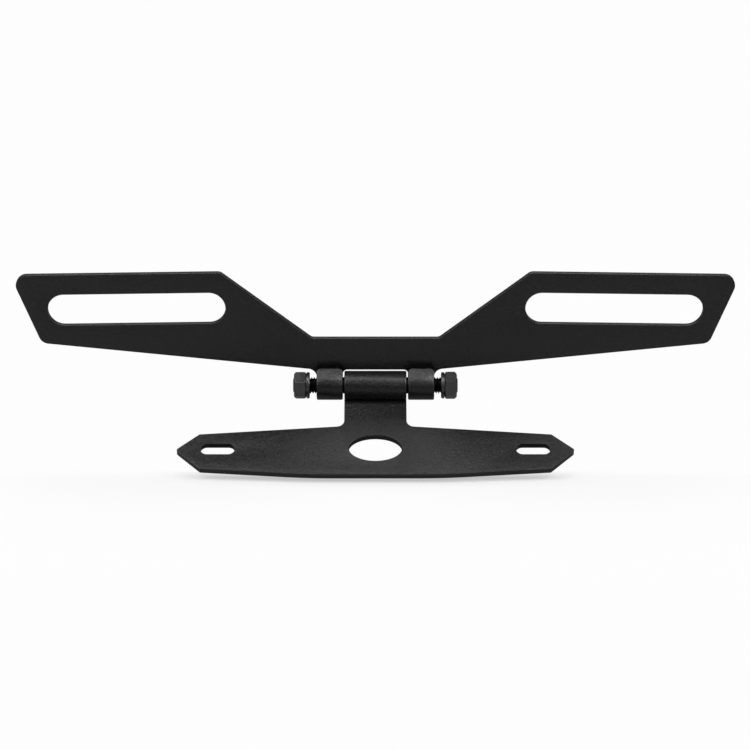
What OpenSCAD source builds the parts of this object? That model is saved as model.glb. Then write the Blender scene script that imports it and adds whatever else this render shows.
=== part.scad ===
// Folding number-plate bracket for the tail of a motorbike
// The upper plate has two wings with long slots for the indicators. Under it, on a hinge
// rolled from the sheet itself, hangs the lower plate that the number plate is bolted to.
// A stud runs through the hinge and a nut on each end clamps it at the chosen angle.
// X runs across the bike, Y through the sheet towards the bike and Z up. The origin lies on
// the back face of the upper plate, midway between the middles of the indicator slots.

/* [Sheet] */
// Thickness of the steel sheet of both plates
sheet = 3; // [2:0.25:4]
// Gap left where a rolled end closes on its own sheet
seam = 0.15; // [0.1:0.05:0.4]

/* [Indicator slots] */
// Distance between the middles of the two slots
slot_spacing = 231; // [200:1:280]
// Overall length of a slot
slot_length = 86; // [50:1:96]
// Width of a slot, which passes the stem of an indicator
slot_width = 16; // [10:0.5:20]
// How far the wings and their slots droop towards the outer ends, in degrees
droop = 0.8; // [0:0.1:1.5]

/* [Wings] */
// Metal between a slot and the top edge
top_rim = 10.1; // [6:0.1:16]
// Metal beyond the outer end of a slot, measured to the sharp top corner
end_rim = 17.1; // [14:0.1:30]
// Metal between the slot line's lower edge and the bottom outer corner
foot_rim = 9.65; // [6:0.05:16]
// Lean of the outer ends towards the middle, in degrees from upright
end_rake = 21.1; // [5:0.1:30]
// Metal between the inner end of a slot and the slanted side of the valley
inner_rim = 10.3; // [6:0.1:16]
// Slope of the valley's sides, in degrees
valley_slope = 37.8; // [30:0.1:50]
// Radius of the top outer corners
tip_radius = 5.3; // [1:0.1:8]
// Radius of the bottom outer corners
foot_radius = 5; // [1:0.1:8]
// Radius of the corners at the mouth of the valley
brow_radius = 4; // [1:0.1:8]
// Radius in the corners at the floor of the valley
valley_radius = 3; // [1:0.1:8]

/* [Middle strip] */
// Depth of the strip's top edge below the slot line
strip_drop = 15.3; // [10:0.05:25]
// Height of the strip
strip_height = 16.35; // [10:0.05:30]
// Radius where the bottom edge of a wing runs into its hinge tab
heel_radius = 4.5; // [1:0.1:6]
// Radius between the strip and the inner side of a hinge tab
crotch_radius = 2.2; // [0.5:0.1:2.4]

/* [Hinge] */
// Diameter of the stud
stud_d = 8; // [6:0.5:10]
// Radial clearance of the stud in the rolled eyes
bore_clearance = 0.1; // [0.05:0.05:0.4]
// Width of the middle eye, and of the neck of the lower plate
middle_eye = 30.2; // [20:0.1:50]
// Width of each side eye
side_eye = 12.7; // [8:0.1:20]
// Gap between neighbouring eyes
eye_gap = 0.8; // [0.4:0.1:2]
// Gap between the middle eye and the strip above it
strip_gap = 0.6; // [0.5:0.05:3]
// Rise of the straight free end of a side eye, in degrees
side_lip = 38; // [0:1:45]
// Gap between the free end of a side eye and the sheet
lip_gap = 2.35; // [0.2:0.05:3]
// Rise of the straight end of the middle eye, which closes on its sheet, in degrees
middle_lip = -30; // [-35:1:10]
// Radius of the corners of a side eye's free end
lip_radius = 2; // [0.5:0.1:4]
// Angle that the lower plate is folded out of the upper plate's plane, in degrees
fold = 66; // [-80:1:180]

/* [Stud and nuts] */
// Pitch of the thread
pitch = 1.25; // [0.75:0.05:1.5]
// Length of stud left plain
plain_length = 53.4; // [40:0.2:54]
// How far each nut stands off its eye
nut_standoff = 3.45; // [0:0.05:8]
// Width of a nut across its flats
nut_flats = 12; // [11:0.5:17]
// Height of a nut, with its collar
nut_height = 7.6; // [5:0.1:10]
// Height of the round collar on the inner side of a nut
collar_height = 1.5; // [1.2:0.1:3]
// Width of the groove between the collar and the hexagon
collar_groove = 0.1; // [0.05:0.05:0.5]
// How far the collar stands out past the flats
collar_out = 0.4; // [0.05:0.05:0.6]
// Radius of the collar's rim
collar_rim = 0.4; // [0.2:0.1:1.1]
// How far the round ends of the hexagon lie inside the flats
crown_in = 0.45; // [0.1:0.05:1]
// Slope of the chamfer on the outer corners of a nut, in degrees
crown_slope = 40; // [15:1:50]
// Slope of the chamfer on the inner corners of a nut, in degrees
foot_slope = 32; // [15:1:50]
// Radial clearance of a nut over the crests of the thread
nut_clearance = 0.05; // [0.02:0.01:0.2]
// How far the stud stands proud of each nut
stud_proud = 0.4; // [0.2:0.1:6]
// Height of the foremost corner of the left nut above the level, in degrees
left_nut_turn = 33; // [0:1:59]
// Height of the foremost corner of the right nut above the level, in degrees
right_nut_turn = 37; // [0:1:59]

/* [Lower plate] */
// Distance from the stud's axis to the number-plate slots
plate_drop = 37.7; // [30:0.1:60]
// Distance between the middles of the number-plate slots
plate_slot_spacing = 151.2; // [120:0.1:200]
// Overall length of a number-plate slot
plate_slot_length = 16.5; // [8:0.5:24]
// Width of a number-plate slot
plate_slot_width = 6.5; // [4:0.5:8]
// Metal above a slot, up to the shoulder
shoulder_rim = 6.15; // [3:0.05:10]
// Distance of the shoulder outside the middle of its slot
shoulder_out = 9.1; // [4:0.1:12]
// Slope of the top edge from the neck out to the shoulder, in degrees
shoulder_slope = 4.4; // [0:0.1:8]
// Distance of the pointed end outside the middle of its slot
point_out = 20.1; // [15:0.1:30]
// Distance of the pointed end below the slot line
point_drop = 0.55; // [-3:0.05:3]
// Metal below a slot, down to the lower corner
hip_rim = 9.25; // [5:0.05:15]
// Distance of the lower corner outside the middle of its slot
hip_out = 8; // [4:0.1:12]
// Slope of the bottom edge near its ends, in degrees
belly_slope = 4; // [1:0.1:8]
// Half width of the level stretch of the bottom edge, before it is blended
belly_half = 32; // [20:1:50]
// Radius that blends the slopes of the bottom edge
belly_radius = 330; // [50:10:500]
// Radius of the small corners of the lower plate
plate_radius = 1.3; // [0.5:0.1:3]
// Radius where the neck runs into the top edge
neck_radius = 3.8; // [1:0.1:6]
// Length of the oval hole
oval_length = 25.5; // [10:0.5:40]
// Height of the oval hole
oval_height = 16.2; // [8:0.1:24]
// Distance of the oval's middle above the slot line
oval_rise = 0.65; // [-2:0.05:3]

/* [Hidden] */
$fn = 96;
sliver_fringe = 0.5;
nut_fringe = 0.01;
hair = 0.004;
cut = 1;
flat_share = 0.125;
depth_share = 0.6134;
rim_steps = 6;
bore_r = stud_d / 2 + bore_clearance;
eye_r = bore_r + sheet;
lip_end = bore_r - seam;
lip_length = (bore_r - lip_gap + bore_r * sin(side_lip)) / cos(side_lip);
eye_inner = middle_eye / 2 + eye_gap;
eye_outer = eye_inner + side_eye;
strip_top = -strip_drop;
strip_bottom = strip_top - strip_height;
axis_y = -eye_r;
axis_z = strip_bottom - sqrt(pow(eye_r + strip_gap, 2) - pow(bore_r, 2));
nut_inner = eye_outer + nut_standoff;
nut_outer = nut_inner + nut_height;
stud_end = nut_outer + stud_proud;
black = [0.16, 0.16, 0.17];
dark_steel = [0.22, 0.22, 0.23];

function unit(v) = v / norm(v);
function half_angle(a, b, c) = acos(unit(a - b) * unit(c - b)) / 2;
function turn(a, b, c) = (b[0] - a[0]) * (c[1] - b[1]) - (b[1] - a[1]) * (c[0] - b[0]);
function mirrored(corners) = [
    for (i = [len(corners) - 1:-1:0]) [-corners[i][0], corners[i][1], corners[i][2]]
];

// The sliver between a corner b of an outline and the arc of radius r that rounds it. It has
// a fringe past the outline's edges, and its arc is a hair large, so that both cross cleanly
module corner_sliver(a, b, c, r) {
    half = half_angle(a, b, c);
    run = r / tan(half);
    centre = b + unit(unit(a - b) + unit(c - b)) * r / sin(half);
    fringe = 1 + sliver_fringe / r;
    translate(centre) difference() {
        polygon([
            [0, 0],
            (b + unit(a - b) * run - centre) * fringe,
            (b - centre) * fringe,
            (b + unit(c - b) * run - centre) * fringe
        ]);
        circle(r + hair, $fn = max($fn, ceil(r)));
    }
}

function points_of(corners) = [for (corner = corners) [corner[0], corner[1]]];

// The slivers of all rounded corners that turn one way: 1 for outward corners, -1 for inward
module corner_slivers(corners, way) {
    points = points_of(corners);
    count = len(corners);
    for (i = [0:count - 1]) {
        a = points[(i + count - 1) % count];
        b = points[i];
        c = points[(i + 1) % count];
        r = corners[i][2];
        if (r > 0 && turn(a, b, c) * way > 0) corner_sliver(a, b, c, r);
    }
}

// An outline through corners [x, y, radius], listed anticlockwise, each rounded by an arc
module rounded_outline(corners) {
    difference() {
        union() {
            polygon(points_of(corners));
            corner_slivers(corners, -1);
        }
        corner_slivers(corners, 1);
    }
}

// A slot with round ends, centred on the origin and lying along X
module slot_outline(length, width) {
    square([length - width, width], center = true);
    for (side = [-1, 1]) translate([side * (length - width) / 2, 0]) circle(d = width);
}

// Turn a side view, drawn as Y across and Z up, into a solid between two places along X
module along_x(from, to) {
    translate([from, 0, 0]) rotate([90, 0, 90]) linear_extrude(to - from) children();
}

// How high over the axis the straight end of a roll of radius r closes on the sheet
function lip_height(r, rise) = (r + lip_end * sin(rise)) / cos(rise);

// The outline of a roll of radius r whose straight end rises towards the sheet
module roll_outline(r, rise, past) {
    circle(r);
    polygon([[0, 0], r * [-sin(rise), cos(rise)], [lip_end, lip_height(r, rise)], [lip_end + past, 0]]);
}

// Side view of a rolled eye round the origin: the sheet leaves upward at its right side, and
// the straight end stops at the given length or where it closes on the sheet
module rolled_eye(rise, length) {
    difference() {
        roll_outline(eye_r, rise, 0);
        roll_outline(bore_r, rise, seam);
        translate([lip_end, 0]) square(2 * eye_r);
        rotate(rise) translate([length, 0]) square(2 * eye_r);
    }
    translate([bore_r, 0]) square([sheet, sheet / 2]);
}

// What the corners of a side eye's free end lose, on one side of the eye
module lip_corner() {
    rotate([side_lip, 0, 0]) translate([0, lip_length - lip_radius, bore_r / 2])
        linear_extrude(eye_r) difference() {
            translate([-cut, 0]) square([lip_radius + cut, lip_radius + cut]);
            translate([lip_radius, 0]) circle(lip_radius);
        }
}

// Upper plate
wing_half = (slot_spacing + slot_length) / 2 + end_rim;
slot_half = slot_spacing / 2;
foot_z = -slot_width / 2 - foot_rim;
function top_edge(x) = slot_width / 2 + top_rim - (x - slot_half) * tan(droop);
inner_end = slot_half - (slot_length - slot_width) / 2;
valley_reach = (slot_width / 2 + inner_rim) / sin(valley_slope);
function valley_x(z) = inner_end - valley_reach + z / tan(valley_slope);
brow_z = top_edge(valley_x(top_edge(slot_half)));
foot_x = wing_half - (top_edge(wing_half) - foot_z) * tan(end_rake);
right_wing = [
    [foot_x, foot_z, foot_radius],
    [wing_half, top_edge(wing_half), tip_radius],
    [valley_x(brow_z), brow_z, brow_radius],
    [valley_x(strip_top), strip_top, valley_radius]
];
right_tab = [
    [eye_inner, strip_bottom, crotch_radius],
    [eye_inner, axis_z, 0],
    [eye_outer, axis_z, 0],
    [eye_outer, strip_bottom, heel_radius]
];

module side_eye_roll() {
    difference() {
        along_x(eye_inner, eye_outer) rolled_eye(side_lip, lip_length);
        translate([eye_inner, 0, 0]) lip_corner();
        translate([eye_outer, 0, 0]) mirror([1, 0, 0]) lip_corner();
    }
}

module upper_plate() {
    color(black) {
        rotate([90, 0, 0]) linear_extrude(sheet) difference() {
            rounded_outline(concat(right_tab, right_wing, mirrored(right_wing), mirrored(right_tab)));
            for (side = [-1, 1])
                translate([side * slot_half, 0]) rotate(-side * droop)
                    slot_outline(slot_length, slot_width);
        }
        for (side = [0, 1])
            translate([0, axis_y, axis_z]) mirror([side, 0, 0]) side_eye_roll();
    }
}

// Lower plate, drawn hanging straight down with its hinge axis at the origin
plate_slot_half = plate_slot_spacing / 2;
shoulder_x = plate_slot_half + shoulder_out;
shoulder_z = plate_slot_width / 2 + shoulder_rim - plate_drop;
hip_x = plate_slot_half + hip_out;
hip_z = -plate_slot_width / 2 - hip_rim - plate_drop;
neck_half = middle_eye / 2;
neck_z = shoulder_z + (shoulder_x - neck_half) * tan(shoulder_slope);
right_plate = [
    [belly_half, hip_z - (hip_x - belly_half) * tan(belly_slope), belly_radius],
    [hip_x, hip_z, plate_radius],
    [plate_slot_half + point_out, -point_drop - plate_drop, plate_radius],
    [shoulder_x, shoulder_z, plate_radius],
    [neck_half, neck_z, neck_radius],
    [neck_half, 0, 0]
];

module flat_plate() {
    translate([0, eye_r, 0]) rotate([90, 0, 0]) linear_extrude(sheet) difference() {
        rounded_outline(concat(right_plate, mirrored(right_plate)));
        for (side = [-1, 1])
            translate([side * plate_slot_half, -plate_drop])
                slot_outline(plate_slot_length, plate_slot_width);
    }
}

module oval_hole() {
    translate([0, eye_r + cut, oval_rise - plate_drop]) scale([1, 1, oval_height / oval_length])
        rotate([90, 0, 0]) cylinder(h = sheet + 2 * cut, d = oval_length);
}

module lower_plate() {
    color(black) translate([0, axis_y, axis_z]) rotate([-fold, 0, 0]) {
        difference() {
            flat_plate();
            oval_hole();
        }
        mirror([0, 0, 1]) along_x(-neck_half, neck_half) rolled_eye(middle_lip, 2 * eye_r);
    }
}

// Stud and nuts
thread_depth = depth_share * pitch;
root_r = stud_d / 2 - thread_depth;
grooves = floor((stud_end - plain_length / 2 - thread_depth) / pitch);
function groove(x) = [
    [stud_d / 2, x],
    [root_r, x + pitch * (1 - 2 * flat_share) / 2],
    [root_r, x + pitch / 2],
    [stud_d / 2, x + pitch * (1 - flat_share)]
];

// Half of the stud's outline, from its middle to one end
half_stud = concat(
    [[0, 0], [stud_d / 2, 0]],
    [for (i = [0:grooves - 1]) each groove(plain_length / 2 + i * pitch)],
    [[stud_d / 2, stud_end - thread_depth], [root_r, stud_end], [0, stud_end]]
);

module hinge_stud() {
    color(dark_steel) translate([0, axis_y, axis_z]) for (side = [-1, 1])
        rotate([0, side * 90, 0]) rotate_extrude() polygon(half_stud);
}

// Half of the collar's outline, with a round rim on its free side
collar_r = nut_flats / 2 + collar_out;
half_collar = concat(
    [[0, 0]],
    [for (i = [0:rim_steps]) [
        collar_r - collar_rim * (1 - sin(90 * i / rim_steps)),
        collar_rim * (1 - cos(90 * i / rim_steps))
    ]],
    [[collar_r, collar_height], [0, collar_height]]
);

// A nut on the X axis with its collar's face at the origin, opening towards +X, with a corner
// that points to the front (-Y) and lies as high above the level as turn says
module nut(turn) {
    corner_r = nut_flats / sqrt(3);
    crown_r = nut_flats / 2 - crown_in;
    chamfer = corner_r - crown_r;
    hex_foot = collar_height + collar_groove;
    rotate([0, 90, 0]) difference() {
        union() {
            rotate_extrude() polygon(half_collar);
            intersection() {
                rotate(-90 - turn) cylinder(h = nut_height, r = corner_r, $fn = 6);
                rotate_extrude() polygon([
                    [0, collar_height / 2],
                    [crown_r, collar_height / 2],
                    [crown_r, hex_foot],
                    [corner_r + nut_fringe, hex_foot + chamfer * tan(foot_slope)],
                    [corner_r + nut_fringe, nut_height - chamfer * tan(crown_slope)],
                    [crown_r, nut_height],
                    [0, nut_height]
                ]);
            }
        }
        translate([0, 0, -cut]) cylinder(h = nut_height + 2 * cut, r = stud_d / 2 + nut_clearance);
    }
}

module nut_right() {
    color(dark_steel) translate([nut_inner, axis_y, axis_z]) nut(right_nut_turn);
}

module nut_left() {
    color(dark_steel) translate([-nut_inner, axis_y, axis_z]) mirror([1, 0, 0]) nut(left_nut_turn);
}

upper_plate();
lower_plate();
hinge_stud();
nut_left();
nut_right();
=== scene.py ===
"""Dress the folding number-plate bracket and set it in a plain studio.

The two plates are powder-coated sheet steel with rounded edges, the stud has a true helical
thread, and the nuts have softened corners. Each piece replaces its own solid of the frame.
Lengths are in metres.
"""
from __future__ import annotations

import logging
import math
from collections.abc import Sequence
from dataclasses import dataclass
from enum import Enum
from typing import Any

import bmesh
import bpy
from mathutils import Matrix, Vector

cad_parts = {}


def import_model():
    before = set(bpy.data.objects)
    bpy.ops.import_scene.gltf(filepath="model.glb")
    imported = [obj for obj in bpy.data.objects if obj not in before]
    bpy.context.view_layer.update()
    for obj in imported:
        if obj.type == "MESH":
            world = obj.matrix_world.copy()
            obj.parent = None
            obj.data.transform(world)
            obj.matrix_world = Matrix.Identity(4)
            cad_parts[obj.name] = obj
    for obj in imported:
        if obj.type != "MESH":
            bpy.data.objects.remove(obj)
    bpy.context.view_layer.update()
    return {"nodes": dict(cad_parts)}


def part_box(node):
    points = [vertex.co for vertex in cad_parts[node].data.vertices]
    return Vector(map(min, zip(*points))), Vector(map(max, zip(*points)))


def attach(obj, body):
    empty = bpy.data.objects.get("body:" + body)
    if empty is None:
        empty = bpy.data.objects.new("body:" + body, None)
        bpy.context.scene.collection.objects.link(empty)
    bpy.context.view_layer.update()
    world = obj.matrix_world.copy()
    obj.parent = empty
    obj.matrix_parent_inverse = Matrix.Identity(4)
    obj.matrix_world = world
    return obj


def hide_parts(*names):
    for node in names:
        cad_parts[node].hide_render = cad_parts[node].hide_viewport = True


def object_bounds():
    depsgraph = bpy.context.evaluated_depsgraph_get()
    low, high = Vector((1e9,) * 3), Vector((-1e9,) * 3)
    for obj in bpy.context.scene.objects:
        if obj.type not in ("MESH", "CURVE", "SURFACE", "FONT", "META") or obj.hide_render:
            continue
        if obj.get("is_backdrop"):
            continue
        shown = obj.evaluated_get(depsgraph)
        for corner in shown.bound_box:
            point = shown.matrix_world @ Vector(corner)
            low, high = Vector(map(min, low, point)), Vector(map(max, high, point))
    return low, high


LOG = logging.getLogger("bracket")
MM = 0.001

# The rounding of the sheet's cut edges, of the rolled eyes' rims and of the nuts' corners.
PLATE_EDGE = 0.15 * MM
EYE_RIM = 0.65 * MM
NUT_CORNER = 0.1 * MM

# A Mix node that mixes colours has its two colours and its result at these sockets.
MIX_COLOUR_A = 6
MIX_COLOUR_B = 7
MIX_COLOUR_RESULT = 2

# The value that a Noise Texture node varies about.
NOISE_MIDDLE = 0.5

Triple = tuple[float, float, float]


class Body(Enum):
    """The bodies that a piece can ride on."""

    BRACKET = "bracket"
    PLATE_HOLDER = "plate_holder"


class Side(Enum):
    """A side of the bracket, seen from behind the bike, as the sign of X."""

    LEFT = -1
    RIGHT = 1


class Value:
    """One output socket of a node tree, on which sums can be written as plain Python."""

    def __init__(self, shader: Shader, socket: bpy.types.NodeSocket | None) -> None:
        """Wrap a socket.

        Args:
            shader: The node tree that the socket belongs to.
            socket: The output socket, or none for a node that ends a tree.
        """
        self.shader = shader
        self.socket = socket

    def _math(self, operation: str, *operands: Value | float) -> Value:
        """Add a Math node.

        Args:
            operation: The node's operation.
            operands: Its inputs, in order.

        Returns:
            The node's result.
        """
        inputs = dict(enumerate(operands))
        return self.shader.node("ShaderNodeMath", {"operation": operation}, inputs)

    def __add__(self, other: Value | float) -> Value:
        """Sum of two values."""
        return self._math("ADD", self, other)

    __radd__ = __add__

    def __sub__(self, other: Value | float) -> Value:
        """Difference of two values."""
        return self._math("SUBTRACT", self, other)

    def __rsub__(self, other: float) -> Value:
        """Difference with the value on the right."""
        return self._math("SUBTRACT", other, self)

    def __mul__(self, other: Value | float) -> Value:
        """Product of two values."""
        return self._math("MULTIPLY", self, other)

    __rmul__ = __mul__

    def clamped(self, low: float = 0.0, high: float = 1.0) -> Value:
        """Keep the value between two limits.

        Args:
            low: The lower limit.
            high: The upper limit.

        Returns:
            The limited value.
        """
        return self._math("MINIMUM", self._math("MAXIMUM", self, low), high)


class Shader:
    """A node tree that is built by naming nodes, their settings and their inputs."""

    def __init__(self, owner: bpy.types.Material | bpy.types.World) -> None:
        """Empty the owner's node tree.

        Args:
            owner: The material or world that the tree belongs to.
        """
        owner.use_nodes = True
        self.tree = owner.node_tree
        self.tree.nodes.clear()

    def node(
        self,
        kind: str,
        settings: dict[str, Any] | None = None,
        inputs: dict[str | int, Any] | None = None,
        output: str | int = 0,
    ) -> Value:
        """Add a node.

        Args:
            kind: The node's type.
            settings: Properties that are set before its sockets are.
            inputs: Numbers, colours, vectors or values for its input sockets.
            output: The output socket that is wanted.

        Returns:
            The chosen output, ready for sums. A node that ends a tree has none.
        """
        made = self.tree.nodes.new(kind)
        for key, setting in (settings or {}).items():
            setattr(made, key, setting)
        for key, given in (inputs or {}).items():
            if isinstance(given, Value):
                self.tree.links.new(given.socket, made.inputs[key])
            else:
                made.inputs[key].default_value = given
        return Value(self, made.outputs[output] if made.outputs else None)

    def noise(self, place: Value, scale: float, detail: float) -> Value:
        """Add a Noise Texture node.

        Args:
            place: The place on the object.
            scale: How many grains there are to a metre.
            detail: How many finer layers of grain there are.

        Returns:
            The noise, from 0 to 1.
        """
        inputs = {"Vector": place, "Scale": scale, "Detail": detail}
        return self.node("ShaderNodeTexNoise", inputs=inputs)

    def blend(self, factor: Value, colour: Triple, dark: float, pale: float) -> Value:
        """Vary a colour between a darker and a paler one.

        Args:
            factor: 0 where the colour is dark and 1 where it is pale.
            colour: The colour.
            dark: How bright the dark colour is beside it.
            pale: How bright the pale colour is beside it.

        Returns:
            The varying colour.
        """
        inputs = {
            "Factor": factor,
            MIX_COLOUR_A: (*(dark * part for part in colour), 1.0),
            MIX_COLOUR_B: (*(pale * part for part in colour), 1.0),
        }
        return self.node("ShaderNodeMix", {"data_type": "RGBA"}, inputs, MIX_COLOUR_RESULT)

    def mix(self, factor: Value, first: Value, second: Value) -> Value:
        """Mix two shaders.

        Args:
            factor: 0 where the first one shows and 1 where the second one does.
            first: The first shader.
            second: The second shader.

        Returns:
            The mixed shader.
        """
        return self.node("ShaderNodeMixShader", inputs={0: factor, 1: first, 2: second})


@dataclass(frozen=True)
class PowderCoat:
    """Satin black powder coat: a fine sandy grain, with a slightly uneven sheen.

    Broad patches and a fine grain vary the colour between dark and pale times its own brightness,
    by their contrasts, about evenness. They vary the roughness by their sheens. The grain and a
    coarser peel make the bumps.
    """

    name: str = "satin_black_powder_coat"
    colour: Triple = (0.0056, 0.0057, 0.0061)
    dark: float = 0.35
    pale: float = 1.65
    evenness: float = 0.5
    roughness: float = 0.37
    smoothest: float = 0.2
    roughest: float = 0.8
    specular: float = 0.91
    patch_scale: float = 55.0
    patch_detail: float = 4.0
    patch_contrast: float = 0.6
    patch_sheen: float = 0.10
    peel_scale: float = 800.0
    peel_share: float = 0.5
    grain_scale: float = 1150.0
    grain_detail: float = 2.0
    grain_contrast: float = 3.6
    grain_sheen: float = 0.30
    bump_height: float = 0.28 * MM

    def material(self) -> bpy.types.Material:
        """Build the finish.

        Returns:
            The material.
        """
        material = bpy.data.materials.new(self.name)
        shader = Shader(material)
        place = shader.node("ShaderNodeTexCoord", output="Object")
        peel = shader.noise(place, self.peel_scale, self.grain_detail)
        grain = shader.noise(place, self.grain_scale, self.grain_detail)
        patches_off = shader.noise(place, self.patch_scale, self.patch_detail) - NOISE_MIDDLE
        grain_off = grain - NOISE_MIDDLE
        speckle = (
            self.evenness + patches_off * self.patch_contrast + grain_off * self.grain_contrast
        )
        roughness = self.roughness + patches_off * self.patch_sheen + grain_off * self.grain_sheen
        height = peel * self.peel_share + grain * (1.0 - self.peel_share)
        bump = shader.node(
            "ShaderNodeBump", inputs={"Height": height, "Distance": self.bump_height}
        )
        coat = shader.node(
            "ShaderNodeBsdfPrincipled",
            inputs={
                "Base Color": shader.blend(speckle.clamped(), self.colour, self.dark, self.pale),
                "Roughness": roughness.clamped(self.smoothest, self.roughest),
                "Normal": bump,
                "Specular IOR Level": self.specular,
            },
        )
        shader.node("ShaderNodeOutputMaterial", inputs={"Surface": coat})
        return material


@dataclass(frozen=True)
class BlackOxide:
    """Blackened steel of the stud and the nuts: a dark metal, a little rubbed by handling.

    The rubbing varies the colour between dark and pale times its own brightness, and the
    roughness by rub_sheen. Fine pits make the bumps.
    """

    name: str = "black_oxide_steel"
    colour: Triple = (0.19, 0.19, 0.195)
    roughness: float = 0.36
    dark: float = 0.8
    pale: float = 1.2
    smoothest: float = 0.2
    roughest: float = 0.7
    metallic: float = 1.0
    rub_scale: float = 420.0
    rub_detail: float = 5.0
    rub_sheen: float = 0.16
    pit_scale: float = 2600.0
    pit_detail: float = 1.0
    pit_height: float = 0.02 * MM
    pit_strength: float = 0.5

    def material(self) -> bpy.types.Material:
        """Build the finish.

        Returns:
            The material.
        """
        material = bpy.data.materials.new(self.name)
        shader = Shader(material)
        place = shader.node("ShaderNodeTexCoord", output="Object")
        rub = shader.noise(place, self.rub_scale, self.rub_detail)
        pits = shader.noise(place, self.pit_scale, self.pit_detail)
        roughness = self.roughness + (rub - NOISE_MIDDLE) * self.rub_sheen
        bump = shader.node(
            "ShaderNodeBump",
            inputs={"Height": pits, "Distance": self.pit_height, "Strength": self.pit_strength},
        )
        coat = shader.node(
            "ShaderNodeBsdfPrincipled",
            inputs={
                "Base Color": shader.blend(rub, self.colour, self.dark, self.pale),
                "Roughness": roughness.clamped(self.smoothest, self.roughest),
                "Normal": bump,
                "Metallic": self.metallic,
            },
        )
        shader.node("ShaderNodeOutputMaterial", inputs={"Surface": coat})
        return material


def new_object(name: str, data: bpy.types.ID) -> bpy.types.Object:
    """Put a mesh, a lamp or a camera in the scene.

    Args:
        name: The object's name.
        data: Its mesh, light or camera.

    Returns:
        The object.
    """
    made = bpy.data.objects.new(name, data)
    bpy.context.scene.collection.objects.link(made)
    return made


def finished_mesh(name: str, work: bmesh.types.BMesh, finish: bpy.types.Material) -> bpy.types.Mesh:
    """Turn a mesh in the making into a smooth mesh with a finish.

    Args:
        name: The mesh's name.
        work: The mesh in the making, which is freed.
        finish: The material.

    Returns:
        The mesh.
    """
    mesh = bpy.data.meshes.new(name)
    work.to_mesh(mesh)
    work.free()
    mesh.polygons.foreach_set("use_smooth", [True] * len(mesh.polygons))
    mesh.materials.append(finish)
    return mesh


@dataclass
class SoftenedPart:
    """A piece with the form of its solid and with its sharp edges rounded.

    The outer rims of the rolled eyes, which lie between rim_inner and rim_outer from the hinge's
    axis (its Y and Z), are rounded by rim_radius, and the other sharp edges by edge_radius.
    """

    node: str
    body: Body
    slot: str
    edge_radius: float
    rim_radius: float = 0.0
    axis: tuple[float, float] = (0.0, 0.0)
    rim_inner: float = 6.9 * MM
    rim_outer: float = 7.3 * MM
    edge_steps: int = 5
    sharp_angle: float = math.radians(28)
    flat_angle: float = math.radians(0.2)
    weld: float = 0.002 * MM

    def _is_rim(self, edge: bmesh.types.BMEdge) -> bool:
        """Tell whether an edge runs round the outer rim of a rolled eye.

        Args:
            edge: An edge of the mesh.

        Returns:
            True for a rim, and False for any other edge.
        """
        for vert in edge.verts:
            reach = math.hypot(vert.co.y - self.axis[0], vert.co.z - self.axis[1])
            if not self.rim_inner < reach < self.rim_outer:
                return False
        return abs(edge.verts[0].co.x - edge.verts[1].co.x) <= self.weld

    def _weight(self, edge: bmesh.types.BMEdge, widest: float) -> float:
        """Share of the widest rounding that one edge gets.

        Args:
            edge: An edge of the mesh.
            widest: The widest rounding.

        Returns:
            The share, which is 0 on a smooth edge.
        """
        if len(edge.link_faces) != 2 or edge.calc_face_angle(0.0) < self.sharp_angle:
            return 0.0
        return (self.rim_radius if self._is_rim(edge) else self.edge_radius) / widest

    def build(self, solid: bpy.types.Object, finish: bpy.types.Material) -> bpy.types.Object:
        """Copy the solid, round its edges and dress it.

        Args:
            solid: The frame's own object for this node.
            finish: The material.

        Returns:
            The new piece, which rides on its body and replaces its solid.
        """
        widest = max(self.edge_radius, self.rim_radius)
        work = bmesh.new()
        work.from_mesh(solid.data)
        bmesh.ops.remove_doubles(work, verts=work.verts, dist=self.weld)
        bmesh.ops.dissolve_limit(
            work,
            angle_limit=self.flat_angle,
            verts=work.verts,
            edges=work.edges,
            use_dissolve_boundaries=False,
        )
        weights = work.edges.layers.float.new("bevel_weight_edge")
        for edge in work.edges:
            edge[weights] = self._weight(edge, widest)
        mesh = finished_mesh(f"{self.node}_softened", work, finish)
        piece = new_object(f"{self.node}_finished", mesh)
        bevel = piece.modifiers.new("rounded edges", "BEVEL")
        bevel.width = widest
        bevel.segments = self.edge_steps
        bevel.limit_method = "WEIGHT"
        bevel.use_clamp_overlap = False
        bevel.loop_slide = False
        bevel.harden_normals = True
        bevel.miter_outer = "MITER_ARC"
        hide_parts(self.node)
        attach(piece, self.body.value)
        LOG.info("%s: %d faces before rounding", piece.name, len(mesh.polygons))
        return piece


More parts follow.
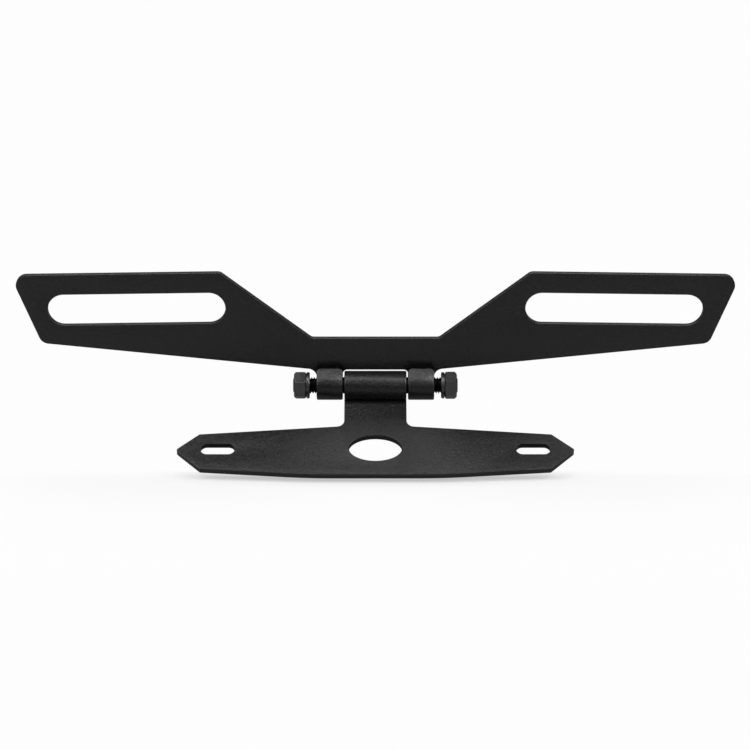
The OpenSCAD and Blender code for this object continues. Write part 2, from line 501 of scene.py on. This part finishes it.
@dataclass
class ThreadedStud:
    """The stud through the hinge, with a helical thread on both ends and a plain middle.

    Both ends have a right-handed thread. At crest_at from the middle, crest_phase puts a crest on
    top of the right end and under the left end. From there to the next root, half a pitch away,
    the share crest_flat is crest, the share flank is slope and the rest is root.
    """

    node: str = "hinge_stud"
    radius: float = 4.0 * MM
    pitch: float = 1.25 * MM
    depth: float = 0.767 * MM
    half_length: float = 40.05 * MM
    plain_half: float = 26.7 * MM
    crest_at: float = 30.325 * MM
    crest_phase: float = 0.75
    crest_flat: float = 0.10
    flank: float = 0.72
    sides: int = 64
    steps_per_turn: int = 12

    def _radius_at(self, along: float, angle: float) -> float:
        """Radius of the stud at one spot.

        Args:
            along: Distance from the stud's middle.
            angle: Angle round its axis.

        Returns:
            The radius there.
        """
        turns = (along - self.crest_at) / self.pitch - angle / math.tau
        wave = abs(2.0 * ((turns + self.crest_phase) % 1.0) - 1.0)
        cut = min(1.0, max(0.0, (wave - self.crest_flat) / self.flank))
        run_out = min(1.0, max(0.0, (along - self.plain_half) / self.pitch))
        thread = self.radius - self.depth * cut * run_out
        lead_in = self.radius - max(0.0, along - (self.half_length - self.depth))
        return min(thread, lead_in)

    def _stations(self) -> list[float]:
        """Places of the rings along the stud, from its left end to its right."""
        threaded = self.half_length - self.plain_half
        count = math.ceil(threaded / (self.pitch / self.steps_per_turn))
        half = [self.plain_half + threaded * i / count for i in range(count + 1)]
        return [-x for x in reversed(half)] + half

    def _ring(
        self, work: bmesh.types.BMesh, centre: Vector, x: float
    ) -> list[bmesh.types.BMVert]:
        """Add one ring of points round the stud.

        Args:
            work: The mesh in the making.
            centre: The stud's middle.
            x: The ring's place along the stud.

        Returns:
            The points.
        """
        ring = []
        for i in range(self.sides):
            angle = math.tau * i / self.sides
            radius = self._radius_at(abs(x), math.copysign(angle, x))
            spot = Vector((x, radius * math.cos(angle), radius * math.sin(angle)))
            ring.append(work.verts.new(centre + spot))
        return ring

    def build(self, finish: bpy.types.Material) -> bpy.types.Object:
        """Make the stud where its solid lies.

        Args:
            finish: The material.

        Returns:
            The stud, which rides with the upper plate.
        """
        low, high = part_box(self.node)
        centre = (Vector(low) + Vector(high)) / 2
        work = bmesh.new()
        rings = [self._ring(work, centre, x) for x in self._stations()]
        for ring, following in zip(rings, rings[1:]):
            for i in range(self.sides):
                j = (i + 1) % self.sides
                work.faces.new((ring[i], ring[j], following[j], following[i]))
        for ring, side in ((rings[0], Side.LEFT), (rings[-1], Side.RIGHT)):
            tip = work.verts.new(centre + Vector((side.value * self.half_length, 0, 0)))
            for i in range(self.sides):
                work.faces.new((ring[i], ring[(i + 1) % self.sides], tip))
        bmesh.ops.recalc_face_normals(work, faces=work.faces)
        mesh = finished_mesh("hinge_stud_threaded", work, finish)
        piece = new_object("hinge_stud_threaded", mesh)
        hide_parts(self.node)
        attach(piece, Body.BRACKET.value)
        LOG.info("%s: %d faces", piece.name, len(mesh.polygons))
        return piece


@dataclass(frozen=True)
class Softbox:
    """One rectangular lamp, in watts, that lights the object but isn't seen by the camera."""

    name: str
    place: Triple
    size: tuple[float, float]
    power: float
    target: Triple = (0.0, -0.02, -0.04)

    def build(self) -> None:
        """Hang the lamp and turn it to its target."""
        light = bpy.data.lights.new(self.name, "AREA")
        light.shape = "RECTANGLE"
        light.size, light.size_y = self.size
        light.energy = self.power
        lamp = new_object(self.name, light)
        lamp.location = self.place
        way = Vector(self.target) - Vector(self.place)
        lamp.rotation_euler = way.to_track_quat("-Z", "Y").to_euler()
        lamp.visible_camera = False


@dataclass
class Studio:
    """The plain floor, the soft lamps, the white world and the camera.

    To the camera, the floor and the world glow plain white, at the level white. In front of
    shadow_front the floor shows lit_paper as well, in the share shadow_share, so that the object's
    shadow can be seen there. That fades in over shadow_fade, and out over shadow_reach and towards
    shadow_half_width at the sides. Lamps and reflections meet the duller paper instead.
    """

    floor_gap: float = 2.0 * MM
    floor_size: float = 8.0
    shadow_front: float = -48.0 * MM
    shadow_fade: float = 8.0 * MM
    shadow_reach: float = 150.0 * MM
    shadow_half_width: float = 350.0 * MM
    shadow_share: float = 0.5
    white: float = 0.985
    paper: float = 0.25
    lit_paper: float = 0.98
    world_level: float = 0.064
    mirrored_level: float = 0.024
    aim: Triple = (-0.2, -7.0, -32.75)
    distance: float = 1217.5 * MM
    elevation: float = math.radians(23.0)
    lens: float = 120.0
    sensor: float = 36.0
    view_depth: float = 50.0
    softboxes: tuple[Softbox, ...] = (
        Softbox("overhead", (0.0, -0.236, 0.936), (1.2, 0.263), 2.4),
        Softbox("rear", (0.0, 0.636, 0.715), (1.2, 0.46), 3.0),
        Softbox("low_front", (0.0, -0.813, 0.569), (1.2, 0.63), 0.33),
        Softbox("left_side", (0.9 * Side.LEFT.value, -0.3, 0.75), (0.8, 0.8), 7.5),
        Softbox("right_side", (0.9 * Side.RIGHT.value, -0.3, 0.75), (0.8, 0.8), 7.5),
    )

    def build(self) -> None:
        """Lay the floor, hang the lamps, and set the world and the camera."""
        self._floor()
        for softbox in self.softboxes:
            softbox.build()
        self._world()
        self._camera()

    def _floor(self) -> None:
        """Lay the white floor just under the lower plate."""
        low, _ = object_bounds()
        half = self.floor_size / 2
        height = low[2] - self.floor_gap
        mesh = bpy.data.meshes.new("floor")
        corners = [(x * half, y * half, height) for x, y in ((-1, -1), (1, -1), (1, 1), (-1, 1))]
        mesh.from_pydata(corners, [], [(0, 1, 2, 3)])
        floor = new_object("floor", mesh)
        mesh.materials.append(self._floor_finish())
        floor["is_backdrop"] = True

    def _floor_finish(self) -> bpy.types.Material:
        """Make the floor white to the camera, with a light shadow in front of the object.

        Returns:
            The material.
        """
        material = bpy.data.materials.new("white_floor")
        shader = Shader(material)
        place = shader.node("ShaderNodeTexCoord", output="Object")
        across, back = (
            shader.node("ShaderNodeSeparateXYZ", inputs={"Vector": place}, output=axis)
            for axis in ("X", "Y")
        )
        behind = ((back - self.shadow_front) * (1.0 / self.shadow_fade)).clamped()
        far = ((self.shadow_front - back) * (1.0 / self.shadow_reach)).clamped()
        aside = (across * across * (1.0 / self.shadow_half_width**2)).clamped()
        lit = (1.0 - behind) * (1.0 - far) * (1.0 - aside) * self.shadow_share
        seen = shader.node("ShaderNodeLightPath", output="Is Camera Ray")
        grey, pale = (
            shader.node("ShaderNodeBsdfDiffuse", inputs={"Color": (shade, shade, shade, 1.0)})
            for shade in (self.paper, self.lit_paper)
        )
        glow = shader.node("ShaderNodeEmission", inputs={"Strength": self.white})
        surface = shader.mix((1.0 - lit) * seen, shader.mix(seen, grey, pale), glow)
        shader.node("ShaderNodeOutputMaterial", inputs={"Surface": surface})
        return material

    def _world(self) -> None:
        """Light the object evenly, and show dark in reflections and white to the camera."""
        world = bpy.data.worlds.new("studio")
        bpy.context.scene.world = world
        shader = Shader(world)
        plain, mirrored, white = (
            shader.node("ShaderNodeBackground", inputs={"Color": (1.0,) * 4, "Strength": level})
            for level in (self.world_level, self.mirrored_level, self.white)
        )
        glossy, seen = (
            shader.node("ShaderNodeLightPath", output=ray)
            for ray in ("Is Glossy Ray", "Is Camera Ray")
        )
        sky = shader.mix(seen, shader.mix(glossy, plain, mirrored), white)
        shader.node("ShaderNodeOutputWorld", inputs={"Surface": sky})

    def _camera(self) -> None:
        """Stand the camera where the photograph was taken from."""
        data = bpy.data.cameras.new("camera")
        data.lens = self.lens
        data.sensor_width = self.sensor
        data.clip_end = self.view_depth
        camera = new_object("camera", data)
        back = Vector((0.0, -math.cos(self.elevation), math.sin(self.elevation)))
        camera.location = Vector(self.aim) * MM + back * self.distance
        camera.rotation_euler = (-back).to_track_quat("-Z", "Y").to_euler()
        bpy.context.scene.camera = camera
        bpy.context.scene.view_settings.view_transform = "Standard"


def main() -> None:
    """Load the frame, dress every node and set the studio."""
    logging.basicConfig(level=logging.INFO, format="%(name)s: %(message)s")
    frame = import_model()
    coat = PowderCoat().material()
    oxide = BlackOxide().material()
    nut_low, nut_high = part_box("nut_left")
    axis = ((nut_low[1] + nut_high[1]) / 2, (nut_low[2] + nut_high[2]) / 2)
    parts = (
        SoftenedPart("upper_plate", Body.BRACKET, "upper_plate", PLATE_EDGE, EYE_RIM, axis),
        SoftenedPart("lower_plate", Body.PLATE_HOLDER, "lower_plate", PLATE_EDGE, EYE_RIM, axis),
        SoftenedPart("nut_left", Body.BRACKET, "nuts", NUT_CORNER),
        SoftenedPart("nut_right", Body.BRACKET, "nuts", NUT_CORNER),
    )
    for part in parts:
        part.build(frame["nodes"][part.node], oxide if part.slot == "nuts" else coat)
    # The thread gets a much darker copy of the blackened steel. This is painted shade for the
    # shadow it lies in, under the upper plate and between the nuts and the eyes.
    shaded_thread = BlackOxide(name="black_thread_painted_shade", colour=(0.032, 0.032, 0.034), roughness=0.42)
    ThreadedStud().build(shaded_thread.material())
    Studio().build()


if __name__ == "__main__":
    main()
